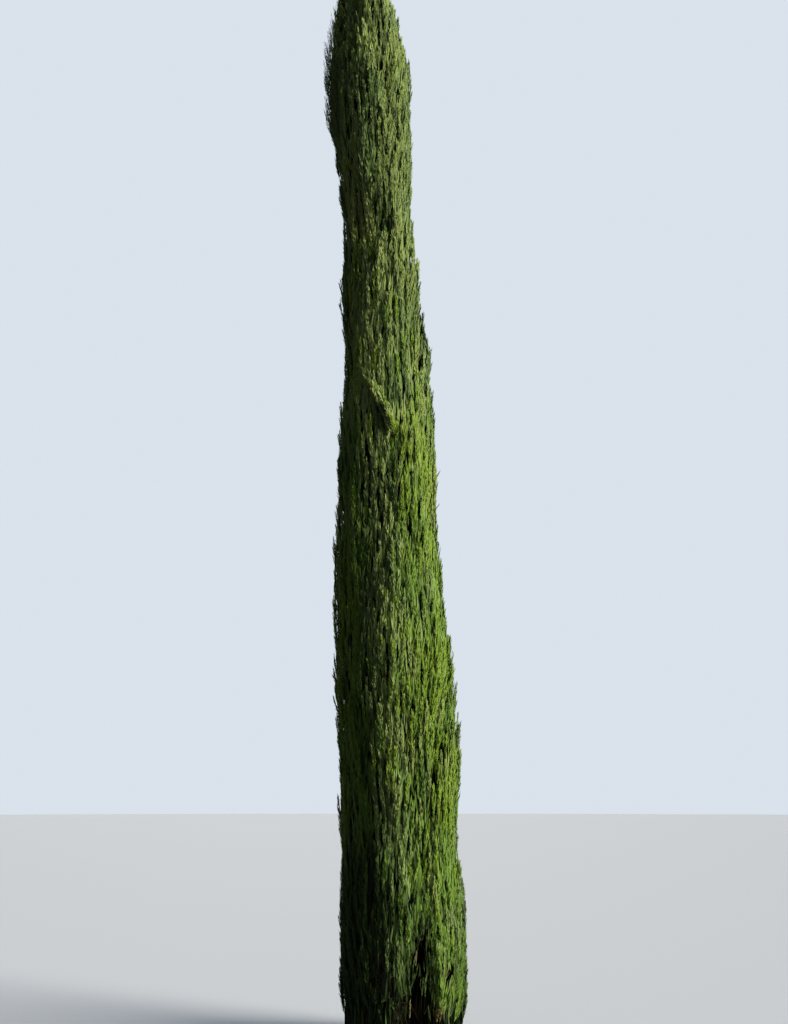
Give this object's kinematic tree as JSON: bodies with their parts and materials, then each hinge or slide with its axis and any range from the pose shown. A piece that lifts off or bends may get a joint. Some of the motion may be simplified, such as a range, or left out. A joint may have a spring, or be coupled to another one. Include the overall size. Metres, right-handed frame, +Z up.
{
  "type": "italian cypress tree",
  "caption": "Tall narrow columnar cypress rooted in level ground: a leaning tapered trunk, short rising boughs in a spiral, and steep overlapping plumes of scale foliage.",
  "frame": {"origin": "middle of the trunk's flat cut at ground level", "axes": "+Z up along the trunk; -Y is the side the picture shows; +X is to the right of that view"},
  "size_m": [1.0138, 0.8932, 8.6],
  "materials": {
    "bark": "rough, finely ridged grey-brown bark",
    "foliage": "matt deep green scale leaves in sprays",
    "foliage_light": "matt lighter green scale leaves in sprays"
  },
  "bodies": {
    "root": {"trunk": "bark", "skirt_bough_01": "bark", "skirt_bough_02": "bark", "skirt_bough_03": "bark", "skirt_bough_04": "bark", "skirt_bough_05": "bark", "skirt_bough_06": "bark", "skirt_bough_07": "bark", "skirt_bough_08": "bark", "bough_01": "bark", "bough_02": "bark", "bough_03": "bark", "bough_04": "bark", "bough_05": "bark", "bough_06": "bark", "bough_07": "bark", "bough_08": "bark", "bough_09": "bark", "bough_10": "bark", "bough_11": "bark", "bough_12": "bark", "bough_13": "bark", "bough_14": "bark", "bough_15": "bark", "bough_16": "bark", "bough_17": "bark", "bough_18": "bark", "loose_bough": "bark", "leaning_sprig": "foliage_light", "leader_plume": "foliage_light", "skirt_plume_03": "foliage", "skirt_plume_01": "foliage", "skirt_plume_02": "foliage", "skirt_plume_08": "foliage", "skirt_plume_04": "foliage", "skirt_plume_06": "foliage", "skirt_plume_05": "foliage", "skirt_plume_07": "foliage", "plume_01": "foliage", "plume_02": "foliage", "plume_03": "foliage", "plume_04": "foliage", "plume_05": "foliage", "plume_06": "foliage", "plume_07": "foliage", "plume_08": "foliage", "plume_09": "foliage", "plume_10": "foliage", "plume_11": "foliage", "plume_12": "foliage_light", "plume_13": "foliage_light", "plume_14": "foliage_light", "plume_15": "foliage_light", "loose_plume": "foliage", "plume_16": "foliage_light", "plume_17": "foliage_light", "plume_18": "foliage_light"}
  },
  "joints": []
}
